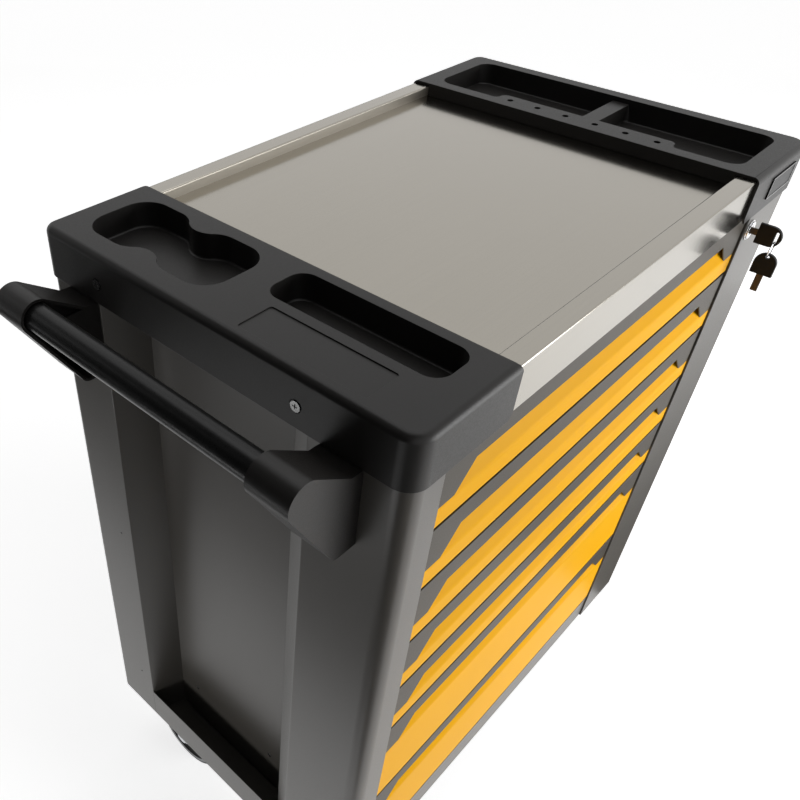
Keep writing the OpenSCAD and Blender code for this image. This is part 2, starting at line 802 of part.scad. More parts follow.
// Section of a handle bracket round the tube's axis, drawn in by g; the cabinet is at x = handle_out
module bracket_outline(g) {
    foot = [bracket_foot_x, bracket_foot_r - bracket_below];
    foot_r = bracket_foot_r - g;
    r = nose_r - g;
    bite = 0.1; // the straight edges run this far inside the circles, so that they cross them
    a = atan2(foot[1], foot[0]) - acos((r - foot_r) / norm(foot));
    low = [cos(a), sin(a)];
    kink = bracket_kink - [g / 3, g];
    wall = handle_out - g;
    polygon([touch(kink, r - bite, 1), kink, [wall, bracket_lip - g], [wall, g - bracket_below],
             [foot[0], g - bracket_below + bite], foot + (foot_r - bite) * low, (r - bite) * low, [0, 0]]);
    circle(r);
    translate(foot) circle(foot_r);
}

// Moulded bracket: closed outer end at y = 0, open towards the other bracket apart from a web
// by the cabinet; its nose is solid round the end of the tube
module handle_bracket() {
    translate([-handle_out, 0, handle_z]) difference() {
        rotate([90, 0, 0]) mirror([0, 0, 1]) linear_extrude(bracket_len) bracket_outline(0);
        difference() {
            translate([0, bracket_wall, 0]) rotate([90, 0, 0]) mirror([0, 0, 1])
                linear_extrude(bracket_len) bracket_outline(bracket_wall);
            translate([-nose_r, 0, -bracket_below])
                cube([nose_r + bar_d / 2 + socket_wall, bracket_wall + socket_len, bracket_below + nose_r]);
            translate([0, bracket_len - bracket_wall, 0]) rotate([90, 0, 0]) mirror([0, 0, 1])
                linear_extrude(bracket_wall + over)
                polygon([[web_tip, bracket_lip], [handle_out, bracket_lip], [handle_out, -web_low]]);
        }
        y_cylinder([0, bracket_wall, 0], bar_d + 2 * fit, bracket_len);
        for (z = bolt_z)
            x_cylinder([handle_out - bolt_bite - fit, bracket_len / 2, z], bolt_d + 2 * fit,
                       bolt_bite + over);
    }
}

module handle_brackets() {
    color(black) in_frame() {
        translate([0, front_bracket_y, 0]) handle_bracket();
        translate([0, rear_bracket_y + bracket_len, 0]) mirror([0, 1, 0]) handle_bracket();
    }
}

module handle_bar() {
    y0 = front_bracket_y + bracket_wall;
    y1 = rear_bracket_y + bracket_len - bracket_wall;
    color(black) in_frame() difference() {
        y_cylinder([-handle_out, y0, handle_z], bar_d, y1 - y0);
        y_cylinder([-handle_out, y0 - over, handle_z], bar_d - 2 * bar_wall, y1 - y0 + 2 * over);
    }
}

module handle_screws() {
    color(zinc) in_frame()
        for (y = [front_bracket_y, rear_bracket_y], z = bolt_z) {
            x_cylinder([-bolt_bite, y + bracket_len / 2, handle_z + z], bolt_d,
                       bolt_bite + sheet_t + bolt_head / 2);
            x_cylinder([sheet_t, y + bracket_len / 2, handle_z + z], bolt_head_d, bolt_head);
        }
}

// A C-shaped slide member: web at x = 0, flanges towards +x, lower edge at z = 0
module channel(depth, h) {
    square([slide_t, h]);
    square([depth, slide_t]);
    translate([0, h - slide_t]) square([depth, slide_t]);
}

// One member of both slides of a drawer; shape is its section seen from the front on the left side
module slide_pair(i, y, len) {
    translate([wall_left, y + len, slide_z(i)]) rotate([90, 0, 0]) linear_extrude(len) children();
    translate([wall_right, y + len, slide_z(i)]) mirror([1, 0, 0]) rotate([90, 0, 0])
        linear_extrude(len) children();
}

module outer_channel() {
    channel(slide_gap - 2 * slide_t, slide_h);
}

middle_inset = slide_t + slide_clear;
middle_h = slide_h - 2 * middle_inset;
inner_h = middle_h - 2 * middle_inset;

module middle_channel() {
    depth = slide_gap - middle_inset - 3 * slide_t - slide_clear;
    translate([middle_inset + slide_t, middle_inset]) channel(depth, middle_h);
}

module inner_channel() {
    depth = slide_gap - 2 * middle_inset - 2 * slide_t - slide_clear;
    translate([slide_gap, 2 * middle_inset]) mirror([1, 0]) channel(depth, inner_h);
}

module slide_channels() {
    color(zinc) in_frame() for (i = [0 : rows - 1]) slide_pair(i, slide_front, slide_len) outer_channel();
}

module drawer_slides(i) {
    color(zinc) in_frame() slide_pair(i, slide_front, slide_len) middle_channel();
}

// Sheet box with the inner slide members on its sides and the catch for the locking bar
module drawer_box(i) {
    color(steel_grey) in_frame() {
        translate([box_left, front_back, front_z(i) + box_lift]) difference() {
            cube([box_right - box_left, box_back - front_back, box_h(i)]);
            translate([box_t, box_t, box_t])
                cube([box_right - box_left - 2 * box_t, box_back - front_back - 2 * box_t, box_h(i)]);
        }
        slide_pair(i, slide_front, slide_len) inner_channel();
        translate([box_right + seat, catch_y, front_z(i) + catch_rise])
            cube([catch_tip - box_right - seat, catch_len, catch_h]);
    }
}

// Side view of a drawer front: foot, flat band, slope of the finger recess, upright top
module front_profile(i) {
    y0 = front_setback;
    b = band_h(i);
    top = front_h(i);
    slope = front_t * norm([recess_d, finger_gap]) / recess_d;
    polygon([[y0, 0], [y0, b], [y0 + recess_d, b + finger_gap], [y0 + recess_d, top], [front_back, top],
             [front_back, b + finger_gap + front_t - slope / 2], [y0 + front_t, b + front_t - slope / 2],
             [y0 + front_t, front_t], [front_back, front_t], [front_back, 0]]);
}

module drawer_front(i) {
    color(yellow) in_frame()
        translate([front_x, 0, front_z(i)]) rotate([90, 0, 90]) linear_extrude(front_w) front_profile(i);
}

// Grip plate over the finger recess: strip with a tab at each end and a flange on top
module drawer_grip(i) {
    b = band_h(i);
    top = front_h(i);
    color(grip_grey) in_frame() translate([front_x, 0, front_z(i)]) difference() {
        union() {
            translate([0, front_setback + grip_t, 0]) rotate([90, 0, 0]) linear_extrude(grip_t)
                polygon([[0, b], [tab_low_w, b], [tab_high_w, b + finger_gap],
                         [front_w - tab_high_w, b + finger_gap], [front_w - tab_low_w, b], [front_w, b],
                         [front_w, top], [0, top]]);
            translate([0, front_setback, top - front_t]) cube([front_w, recess_d, front_t]);
        }
        rotate([90, 0, 90]) translate([0, 0, -over]) linear_extrude(front_w + 2 * over)
            polygon([[front_setback, b], [front_setback + recess_d, b + finger_gap],
                     [front_setback + recess_d, b - over], [front_setback, b - over]]);
    }
}

module lock_barrel() {
    flat = rosette_t / 2;
    color(zinc) in_frame() difference() {
        union() {
            y_cylinder([lock_x, -rosette_t, lock_z], rosette_d - 2 * flat, flat + over / 2);
            y_cylinder([lock_x, -flat, lock_z], rosette_d, flat);
            y_cylinder([lock_x, -flat, lock_z], barrel_d, sheet_t + barrel_len + flat);
        }
        y_cylinder([lock_x, -rosette_t - over, lock_z], plug_d + 2 * fit,
                   barrel_len + rosette_t + 3 * over + sheet_t);
    }
}

// Bow of a key in the plane x = 0: straight end at y = 0, round end and slot towards -y
module bow_outline() {
    r = bow_w / 2;
    difference() {
        union() {
            translate([-bow_len + r, -r]) square([bow_len - r, bow_w]);
            translate([-bow_len + r, 0]) circle(r);
        }
        bow_slot();
    }
}

// Slot near the round end of a bow
module bow_slot() {
    y = bow_y - slot_y;
    for (s = [-1, 1]) translate([y, s * (slot_len - slot_w) / 2]) circle(d = slot_w);
    translate([y - slot_w / 2, -(slot_len - slot_w) / 2]) square([slot_w, slot_len - slot_w]);
}

// Plug, blade and bow of the key in the lock, and the cam behind the barrel
module key() {
    color(black) in_frame() translate([lock_x, 0, lock_z]) {
        y_cylinder([0, -rosette_t + 0.6, 0], plug_d, cam_y + cam_t + rosette_t - 0.6);
        translate([-blade_t / 2, -bow_y - over, -blade_w / 2]) cube([blade_t, bow_y + over, blade_w]);
        translate([-bow_t / 2, -bow_y, 0]) rotate([90, 0, 90]) linear_extrude(bow_t) bow_outline();
        rotate([0, cam_rest, 0]) translate([0, cam_y, 0]) {
            translate([-cam_r, 0, -3.5]) cube([cam_r, cam_t, 7]);
            y_cylinder([-cam_r, 0, 0], 7, cam_t);
            y_cylinder([-cam_r, 0, 0], cam_pin_d, cam_t + 0.5 + bar_t + 0.4);
        }
    }
}

// Locking bar inside the column: strip, a finger for each drawer, and the slot for the cam's pin
module lock_bar() {
    low = finger_z(rows - 1) - 8;
    head_w = lock_x - bar_x - 1;
    head_h = 30;
    pin_x = lock_x - cam_r;
    pin_z = lock_z + cam_r * sin(cam_rest);
    slot_h = cam_pin_d + 1.4;
    color(zinc) in_frame() translate([0, bar_y + bar_t, 0]) rotate([90, 0, 0]) linear_extrude(bar_t)
    difference() {
        union() {
            translate([bar_x, low]) square([bar_w, pin_z - low]);
            translate([bar_x, pin_z - head_h / 2]) square([head_w, head_h]);
            for (i = [0 : rows - 1])
                translate([finger_tip, finger_z(i)]) square([bar_x - finger_tip - seat, finger_h]);
        }
        translate([pin_x - slot_h / 2 - 0.5, pin_z - slot_h / 2])
            square([cam_r * (1 - cos(cam_rest)) + slot_h + 1, slot_h]);
    }
}

module key_ring() {
    color(zinc) in_frame() translate([lock_x, -slot_y, ring_z]) rotate([90, 0, 0])
        rotate_extrude() translate([ring_r, 0]) circle(d = ring_wire, $fn = 24);
}

// Second key, hanging from the ring with its blade down
module spare_key() {
    r = bow_w / 2;
    body = bow_len - r;
    blade_len = 22;
    shift = spare_hole_d / 2 + 1.8;
    color(black) in_frame() translate([lock_x, -slot_y, spare_z]) {
        translate([-bow_t / 2, 0, 0]) rotate([90, 0, 90]) linear_extrude(bow_t) difference() {
            union() {
                translate([0, shift - r]) circle(r);
                translate([-r, shift - r - body]) square([bow_w, body]);
            }
            circle(d = spare_hole_d);
        }
        translate([-blade_t / 2, -blade_w / 2, shift - r - body - blade_len])
            cube([blade_t, blade_w, blade_len + over]);
    }
}

// Plate, raceway and kingpin of a swivel caster; the fork turns round the pin
module swivel_plate(y) {
    translate([swivel_x, y, 0]) {
        translate([-caster_plate / 2, -caster_plate / 2, caster_h - caster_plate_t])
            cube([caster_plate, caster_plate, caster_plate_t]);
        translate([0, 0, race_z]) cylinder(d = race_d, h = race_h + over);
        translate([0, 0, crown_z - seat]) cylinder(d = kingpin_d, h = crown_h + race_h);
        translate([0, 0, crown_z - seat - kingpin_head]) cylinder(d = kingpin_head_d, h = kingpin_head);
    }
}

module caster_plates() {
    color(zinc) in_frame() for (y = swivel_y) swivel_plate(y);
}

// Fork leg in the plane x = 0: from the crown down to the axle, which lies a trail behind
module leg_outline(back, pedal) {
    top = crown_z + fork_t;
    half = crown_d / 2;
    polygon([[-half, top], [-half, crown_z - 6], [back - leg_foot_r, axle_z], [back + leg_foot_r, axle_z],
             [half + back / 4, crown_z - 6], [half + back / 4, top]]);
    translate([back, axle_z]) circle(leg_foot_r);
    if (pedal) {
        polygon([[half, top], [half, crown_z - 20], pedal_pivot - [0, pedal_pin_d],
                 pedal_pivot + [0, pedal_pin_d]]);
        translate(pedal_pivot) circle(pedal_pin_d);
    }
}

// Fork with its axle; the wheel turns in the plane x = 0 and lies a trail behind along y
module fork(back, pedal) {
    for (s = [0, 1]) mirror([s, 0, 0])
        translate([leg_in, 0, 0]) rotate([90, 0, 90]) linear_extrude(fork_t) leg_outline(back, pedal);
    x_cylinder([-leg_out, back, axle_z], axle_d, 2 * leg_out);
    for (x = [-leg_out - axle_head, leg_out]) x_cylinder([x, back, axle_z], axle_head_d, axle_head);
    if (pedal) x_cylinder([-leg_out, pedal_pivot[0], pedal_pivot[1]], pedal_pin_d, 2 * leg_out);
}

module swivel_fork(k) {
    color(zinc) in_frame() translate([swivel_x, swivel_y[k], 0]) mirror([0, k, 0]) difference() {
        union() {
            translate([0, 0, crown_z]) cylinder(d = crown_d, h = crown_h);
            translate([-leg_out, -crown_d / 2, crown_z]) cube([2 * leg_out, crown_d + trail / 4, fork_t]);
            fork(trail, true);
        }
        translate([0, 0, crown_z - over]) cylinder(d = kingpin_d + 2 * fit, h = crown_h + 2 * over);
    }
}

module fixed_forks() {
    color(zinc) in_frame() for (y = fixed_y) translate([fixed_x, y, 0]) {
        translate([-caster_plate / 2, -caster_plate / 2, caster_h - caster_plate_t])
            cube([caster_plate, caster_plate, caster_plate_t]);
        rotate([0, 0, 90]) {
            translate([-leg_out, -crown_d / 2, crown_z])
                cube([2 * leg_out, crown_d, caster_h - crown_z - caster_plate_t]);
            fork(0, false);
        }
    }
}

// Wheel in the plane x = 0: rounded tyre, web and hub with its bore
module wheel() {
    r = wheel_d / 2;
    half = wheel_w / 2;
    bore = axle_d / 2 + fit;
    rotate([0, 90, 0]) rotate_extrude() {
        translate([r - tyre_t, -half]) square([tyre_t - tyre_round, wheel_w]);
        translate([r - tyre_t, tyre_round - half]) square([tyre_t, wheel_w - 2 * tyre_round]);
        for (s = [-1, 1]) translate([r - tyre_round, s * (half - tyre_round)]) circle(tyre_round);
        translate([bore, -web_t / 2]) square([r - tyre_t - bore + over, web_t]);
        translate([bore, -half]) square([hub_d / 2 - bore, wheel_w]);
    }
}

module swivel_wheel(k) {
    color(tyre_black) in_frame() translate([swivel_x, swivel_y[k] + trail_dir[k] * trail, axle_z]) wheel();
}

module fixed_wheel(k) {
    color(tyre_black) in_frame() translate([fixed_x, fixed_y[k], axle_z]) rotate([0, 0, 90]) wheel();
}

// Brake pedal on its pin between the fork legs, sticking out behind the wheel
module brake(k) {
    color(black) in_frame() translate([swivel_x, swivel_y[k], 0]) mirror([0, k, 0])
        translate([0, pedal_pivot[0], pedal_pivot[1]]) difference() {
            union() {
                x_cylinder([-pedal_w / 2, 0, 0], pedal_boss_d, pedal_w);
                rotate([-pedal_tilt, 0, 0]) translate([-pedal_w / 2 + 2, pedal_boss_d / 4, -pedal_t / 2])
                    cube([pedal_w - 4, pedal_len, pedal_t]);
            }
            x_cylinder([-pedal_w, 0, 0], pedal_pin_d + 2 * fit, 2 * pedal_w);
        }
}

left_side_panel();
right_side_panel();
front_left_post();
front_right_post();
back_panel();
base_pan();
top_rails();
side_ledges();
worktop();
left_cap();
right_cap();
cap_screws();
nameplate();
handle_bar();
handle_brackets();
handle_screws();
slide_channels();
for (i = [0 : rows - 1]) {
    drawer_box(i);
    drawer_front(i);
    drawer_grip(i);
    drawer_slides(i);
}
lock_barrel();
lock_bar();
key();
key_ring();
spare_key();
caster_plates();
fixed_forks();
swivel_fork(0);  // swivel_fork_front
swivel_fork(1);  // swivel_fork_rear
brake(0);  // brake_front
brake(1);  // brake_rear
swivel_wheel(0);  // wheel_front_left
swivel_wheel(1);  // wheel_rear_left
fixed_wheel(0);  // wheel_front_right
fixed_wheel(1);  // wheel_rear_right
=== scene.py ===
import json
import math

import bmesh
import bpy
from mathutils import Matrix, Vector


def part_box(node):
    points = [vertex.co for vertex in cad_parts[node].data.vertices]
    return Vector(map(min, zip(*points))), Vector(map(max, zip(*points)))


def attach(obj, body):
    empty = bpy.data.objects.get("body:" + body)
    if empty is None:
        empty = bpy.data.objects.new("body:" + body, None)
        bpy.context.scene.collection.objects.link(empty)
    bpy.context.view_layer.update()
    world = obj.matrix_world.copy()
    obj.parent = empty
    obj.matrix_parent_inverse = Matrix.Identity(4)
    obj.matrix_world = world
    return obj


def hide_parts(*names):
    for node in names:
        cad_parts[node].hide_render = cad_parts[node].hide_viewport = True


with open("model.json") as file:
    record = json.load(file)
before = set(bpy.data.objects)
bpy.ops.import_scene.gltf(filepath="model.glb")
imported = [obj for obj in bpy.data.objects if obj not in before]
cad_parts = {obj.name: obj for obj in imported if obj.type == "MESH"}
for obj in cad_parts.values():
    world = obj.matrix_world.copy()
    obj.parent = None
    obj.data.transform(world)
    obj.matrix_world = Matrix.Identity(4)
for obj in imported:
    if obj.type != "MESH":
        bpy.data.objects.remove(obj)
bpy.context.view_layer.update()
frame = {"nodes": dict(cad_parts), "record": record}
nodes = frame["nodes"]
record = frame["record"]
scene = bpy.context.scene
mm = 0.001
bodyOf = {n: b for b, members in record["behaviour"]["bodies"].items() for n in members}
slotOf = {s["node"]: s["material_slot"] for s in record["subparts"]}
drawerCount = 7
white = (1, 1, 1, 1)
print("frame loaded:", len(nodes), "nodes")


def newMaterial(name):
    mat = bpy.data.materials.new(name)
    mat.use_nodes = True
    tree = mat.node_tree
    shader = tree.nodes["Principled BSDF"]
    coords = tree.nodes.new("ShaderNodeTexCoord")
    return mat, tree, shader, coords


def noiseNode(tree, coords, scale, detail=2, stretch=None, rough=0.5):
    noise = tree.nodes.new("ShaderNodeTexNoise")
    noise.inputs["Scale"].default_value = scale
    noise.inputs["Detail"].default_value = detail
    noise.inputs["Roughness"].default_value = rough
    if stretch:
        mapping = tree.nodes.new("ShaderNodeMapping")
        mapping.inputs["Scale"].default_value = stretch
        tree.links.new(coords.outputs["Object"], mapping.inputs["Vector"])
        tree.links.new(mapping.outputs["Vector"], noise.inputs["Vector"])
    else:
        tree.links.new(coords.outputs["Object"], noise.inputs["Vector"])
    return noise.outputs["Fac"]


# noise mostly lies between 0.3 and 0.7, so that is what is spread by default
def rangeNode(tree, value, low, high, fromLow=0.3, fromHigh=0.7):
    node = tree.nodes.new("ShaderNodeMapRange")
    node.inputs["From Min"].default_value = fromLow
    node.inputs["From Max"].default_value = fromHigh
    node.inputs["To Min"].default_value = low
    node.inputs["To Max"].default_value = high
    tree.links.new(value, node.inputs["Value"])
    return node.outputs["Result"]


def toneNode(tree, fac, dark, light):
    mix = tree.nodes.new("ShaderNodeMix")
    mix.data_type = "RGBA"
    mix.inputs["A"].default_value = (*dark, 1)
    mix.inputs["B"].default_value = (*light, 1)
    tree.links.new(fac, mix.inputs["Factor"])
    return mix.outputs["Result"]


def bumpNode(tree, shader, height, strength, distance):
    bump = tree.nodes.new("ShaderNodeBump")
    bump.inputs["Strength"].default_value = strength
    bump.inputs["Distance"].default_value = distance
    tree.links.new(height, bump.inputs["Height"])
    tree.links.new(bump.outputs["Normal"], shader.inputs["Normal"])


def shade(tone, k):
    return tuple(c * k for c in tone)


# sprayed or moulded finish: cloudy tone, grain in the gloss, fine skin in the bump
def skinMaterial(s):
    mat, tree, shader, coords = newMaterial(s["name"])
    cloud = rangeNode(tree, noiseNode(tree, coords, s["cloudScale"]), 0, 1)
    tone = toneNode(tree, cloud, shade(s["tone"], 1 - s["cloud"]), shade(s["tone"], 1 + s["cloud"]))
    tree.links.new(tone, shader.inputs["Base Color"])
    grain = noiseNode(tree, coords, s["grainScale"], rough=0.6)
    gloss = rangeNode(tree, grain, s["rough"] - s["grain"], s["rough"] + s["grain"])
    tree.links.new(gloss, shader.inputs["Roughness"])
    bumpNode(tree, shader, grain, s["bump"], s["skin"])
    shader.inputs["Specular IOR Level"].default_value = s.get("spec", 0.5)
    shader.inputs["Metallic"].default_value = s.get("metal", 0)
    return mat


# rolled sheet with fine lines along X, and faint handling marks
def brushedMaterial(s):
    mat, tree, shader, coords = newMaterial(s["name"])
    lines = noiseNode(tree, coords, 1.0, detail=4, stretch=s["lines"], rough=0.6)
    cloud = noiseNode(tree, coords, s["cloudScale"], detail=3)
    both = tree.nodes.new("ShaderNodeMath")
    both.operation = "MULTIPLY_ADD"
    both.inputs[1].default_value = s["lineShare"]
    tree.links.new(lines, both.inputs[0])
    tree.links.new(rangeNode(tree, cloud, 0, 1 - s["lineShare"], *s["cloudReach"]), both.inputs[2])
    marks = both.outputs[0]
    tone = toneNode(tree, marks, shade(s["tone"], 1 - s["spread"]), shade(s["tone"], 1 + s["spread"]))
    tree.links.new(tone, shader.inputs["Base Color"])
    sleek, dull = s["glossSpread"]
    gloss = rangeNode(tree, marks, s["rough"] - sleek, s["rough"] + dull)
    tree.links.new(gloss, shader.inputs["Roughness"])
    bumpNode(tree, shader, lines, s["bump"], s["skin"])
    shader.inputs["Metallic"].default_value = 1
    shader.inputs["Anisotropic"].default_value = s["pull"]
    return mat


# what the worktop's two brushed looks share
sheetLook = {"lines": (5, 700, 700), "lineShare": 0.6, "spread": 0.05, "cloudScale": 4, "cloudReach": (0.2, 0.8),
             "glossSpread": (0.015, 0.02), "bump": 0.003, "skin": 0.0002, "pull": 0.1}
# finishes by the record's material slots
finishes = {
    "powder_coat": skinMaterial({
        "name": "anthraciteCoat", "tone": (0.094, 0.087, 0.077), "cloud": 0.04, "cloudScale": 3, "grainScale": 1100,
        "grain": 0.05, "rough": 0.33, "bump": 0.06, "skin": 0.0002, "spec": 0.45}),
    "yellow_paint": skinMaterial({
        "name": "yellowCoat", "tone": (0.95, 0.465, 0.005), "cloud": 0.02, "cloudScale": 4, "grainScale": 1300,
        "grain": 0.05, "rough": 0.42, "bump": 0.03, "skin": 0.0002, "spec": 0.04}),
    "box_grey": skinMaterial({
        "name": "drawerCoat", "tone": (0.105, 0.100, 0.094), "cloud": 0.05, "cloudScale": 5, "grainScale": 1200,
        "grain": 0.05, "rough": 0.5, "bump": 0.08, "skin": 0.0002, "spec": 0.25}),
    "cap_plastic": skinMaterial({
        "name": "blackMoulding", "tone": (0.0175, 0.0162, 0.0152), "cloud": 0.10, "cloudScale": 9, "grainScale": 900,
        "grain": 0.06, "rough": 0.41, "bump": 0.10, "skin": 0.00025, "spec": 0.26}),
    "plate_black": skinMaterial({
        "name": "plateGloss", "tone": (0.006, 0.006, 0.006), "cloud": 0.05, "cloudScale": 20, "grainScale": 2000,
        "grain": 0.03, "rough": 0.3, "bump": 0.02, "skin": 0.0001, "spec": 0.1}),
    "handle_black": skinMaterial({
        "name": "barCoat", "tone": (0.009, 0.009, 0.009), "cloud": 0.06, "cloudScale": 12, "grainScale": 1000,
        "grain": 0.06, "rough": 0.32, "bump": 0.05, "skin": 0.0002, "spec": 0.22}),
    "screw_black": skinMaterial({
        "name": "screwSteel", "tone": (0.17, 0.17, 0.17), "cloud": 0.06, "cloudScale": 60, "grainScale": 1500,
        "grain": 0.06, "rough": 0.28, "bump": 0.04, "skin": 0.0001, "metal": 1}),
    "stainless": brushedMaterial({
        **sheetLook, "name": "brushedSheet", "tone": (0.344, 0.323, 0.284), "rough": 0.155}),
    "zinc": skinMaterial({
        "name": "zincPlate", "tone": (0.55, 0.565, 0.58), "cloud": 0.12, "cloudScale": 45, "grainScale": 600,
        "grain": 0.1, "rough": 0.36, "bump": 0.04, "skin": 0.0002, "metal": 1}),
    "chrome": skinMaterial({
        "name": "chromePlate", "tone": (0.72, 0.72, 0.73), "cloud": 0.02, "cloudScale": 60, "grainScale": 800,
        "grain": 0.03, "rough": 0.12, "bump": 0.01, "skin": 0.0001, "metal": 1}),
    "key_black": skinMaterial({
        "name": "bowPlastic", "tone": (0.007, 0.007, 0.0075), "cloud": 0.08, "cloudScale": 60, "grainScale": 1800,
        "grain": 0.06, "rough": 0.4, "bump": 0.06, "skin": 0.0001, "spec": 0.2}),
    "tyre": skinMaterial({
        "name": "tyreRubber", "tone": (0.03, 0.03, 0.031), "cloud": 0.15, "cloudScale": 30, "grainScale": 700,
        "grain": 0.08, "rough": 0.66, "bump": 0.15, "skin": 0.0003}),
}
# finishes beside those of the slots: the grips' coat with painted shade and painted bounce light, and second looks
# on a piece
extra = {
    "keyBlade": skinMaterial({
        "name": "bladeBrass", "tone": (0.070, 0.056, 0.044), "cloud": 0.12, "cloudScale": 90, "grainScale": 900,
        "grain": 0.07, "rough": 0.33, "bump": 0.05, "skin": 0.0001, "metal": 1}),
    # the grips: the coat darkened as painted shade from the fold above them, and warmed as painted yellow bounce
    # light from the drawer fronts
    "grip": skinMaterial({
        "name": "gripCoat", "tone": (0.058, 0.050, 0.039), "cloud": 0.04, "cloudScale": 4, "grainScale": 1100,
        "grain": 0.06, "rough": 0.44, "bump": 0.06, "skin": 0.0002, "spec": 0.2}),
    "plateRim": skinMaterial({
        "name": "plateRim", "tone": (0.20, 0.20, 0.20), "cloud": 0.05, "cloudScale": 40, "grainScale": 1500,
        "grain": 0.04, "rough": 0.32, "bump": 0.03, "skin": 0.0001}),
    # the aprons' steps: a rougher sheet whose lighter tone is painted light falling on these faces
    "litStepSheet": brushedMaterial({
        **sheetLook, "name": "litStepSheet", "tone": (0.40, 0.375, 0.33), "rough": 0.46}),
    "hub": skinMaterial({
        "name": "hubNylon", "tone": (0.24, 0.245, 0.25), "cloud": 0.05, "cloudScale": 20, "grainScale": 900,
        "grain": 0.06, "rough": 0.5, "bump": 0.08, "skin": 0.0002}),
}
print("finishes ready:", len(finishes) + len(extra))

# angles in degrees; near is how far a point may lie off the level or face it is tested for
meshWork = {"mergeGap": 3e-6, "flat": 0.5, "fold": 22, "sharp": 34, "straight": 0.98, "near": 0.1 * mm}
near = meshWork["near"]


def mergedCopy(name):
    bm = bmesh.new()
    bm.from_mesh(nodes[name].data)
    bmesh.ops.remove_doubles(bm, verts=bm.verts, dist=meshWork["mergeGap"])
    bmesh.ops.dissolve_limit(bm, angle_limit=math.radians(meshWork["flat"]), verts=bm.verts, edges=bm.edges)
    return bm


def isFold(edge, degrees=meshWork["fold"]):
    return len(edge.link_faces) == 2 and edge.calc_face_angle(0) > math.radians(degrees)


def isConvex(edge):
    return edge.is_convex


def along(edge, axis):
    d = edge.verts[1].co - edge.verts[0].co
    return abs(d[axis]) > meshWork["straight"] * d.length


def atLevel(edge, axis, level):
    return all(abs(v.co[axis] - level) < near for v in edge.verts)


def middle(edge):
    return (edge.verts[0].co + edge.verts[1].co) / 2


def roundOver(bm, pick, width, steps):
    edges = [e for e in bm.edges if isFold(e) and pick(e)]
    if edges:
        bmesh.ops.bevel(bm, geom=edges, offset=width, offset_type="OFFSET", segments=steps, profile=0.5,
                        affect="EDGES", clamp_overlap=True, material=-1, loop_slide=False)


def asPiece(bm, name, body, mats, replaced):
    mesh = bpy.data.meshes.new(name)
    bm.to_mesh(mesh)
    bm.free()
    for m in mats:
        mesh.materials.append(m)
    mesh.polygons.foreach_set("use_smooth", [True] * len(mesh.polygons))
    mesh.set_sharp_from_angle(angle=math.radians(meshWork["sharp"]))
    piece = bpy.data.objects.new(name, mesh)
    scene.collection.objects.link(piece)
    weights = piece.modifiers.new("faceWeights", "WEIGHTED_NORMAL")
    weights.keep_sharp = True
    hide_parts(replaced)
    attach(piece, body)


def pieceName(node):
    words = node.split("_")
    return words[0] + "".join(w.capitalize() for w in words[1:])


# a node's copy with its folds rounded; each pass is (edge test, width, steps)
def dressed(node, passes=(), mats=None, paintFaces=None):
    bm = mergedCopy(node)
    for pick, width, steps in passes:
        roundOver(bm, pick, width, steps)
    if paintFaces:
        for f in bm.faces:
            f.material_index = paintFaces(f)
    slot = slotOf[node]
    asPiece(bm, pieceName(node), bodyOf[node], mats or [finishes[slot]], node)


# folded sheet body: upright bends are rounded like a press brake leaves them
sheetWork = {"bend": 1.1 * mm, "cutEdge": 0.35 * mm, "longEdge": 100 * mm}


def uprightBend(e):
    return along(e, 2) and e.is_convex and e.calc_length() > sheetWork["longEdge"]


for node in ("left_side_panel", "right_side_panel", "front_left_post", "front_right_post"):
    dressed(node, [(uprightBend, sheetWork["bend"], 3)])
for node in ("back_panel", "base_pan", "top_rails", "side_ledges"):
    dressed(node, [(isConvex, sheetWork["cutEdge"], 1)])
print("sheet body dressed")

# worktop: one sheet, its rims bent over a small radius; the steps inside the aprons are duller, and lighter in tone
# as painted light
worktopWork = {"rimBend": 2.4 * mm, "cutEdge": 0.3 * mm, "rimBand": 0.4 * mm, "apron": 10 * mm, "facing": 0.9}
topLo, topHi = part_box("worktop")


# faces of the steps inside the aprons, which take the lighter copy of the sheet that paints light on them
def litStepFaces(f):
    inside = topLo.y + worktopWork["apron"] < f.calc_center_median().y < topHi.y - worktopWork["apron"]
    return 1 if inside and abs(f.normal.y) > worktopWork["facing"] else 0


def sheetEdge(e):
    return along(e, 0) and e.is_convex


def rimEdge(e):
    return sheetEdge(e) and middle(e).z > topHi.z - worktopWork["rimBand"]


dressed("worktop", [(rimEdge, worktopWork["rimBend"], 4), (sheetEdge, worktopWork["cutEdge"], 1)],
        [finishes["stainless"], extra["litStepSheet"]], litStepFaces)
print("worktop dressed")

# moulded caps: a round crown on the outline, softer rims, floors and corners in the wells
capWork = {"crown": 7.5 * mm, "wellRim": 2.2 * mm, "wellFloor": 2.4 * mm, "wellTurn": 7 * mm, "wellDepth": 28 * mm,
           "innerEnd": 4.5 * mm, "endEdge": 0.4 * mm, "foot": 0.8 * mm, "cornerFront": 20.5 * mm,
           "cornerRear": 14.5 * mm, "outlineGap": 0.35 * mm, "turnAngle": 60, "turnHeight": 15 * mm,
           "endHeight": 20 * mm}


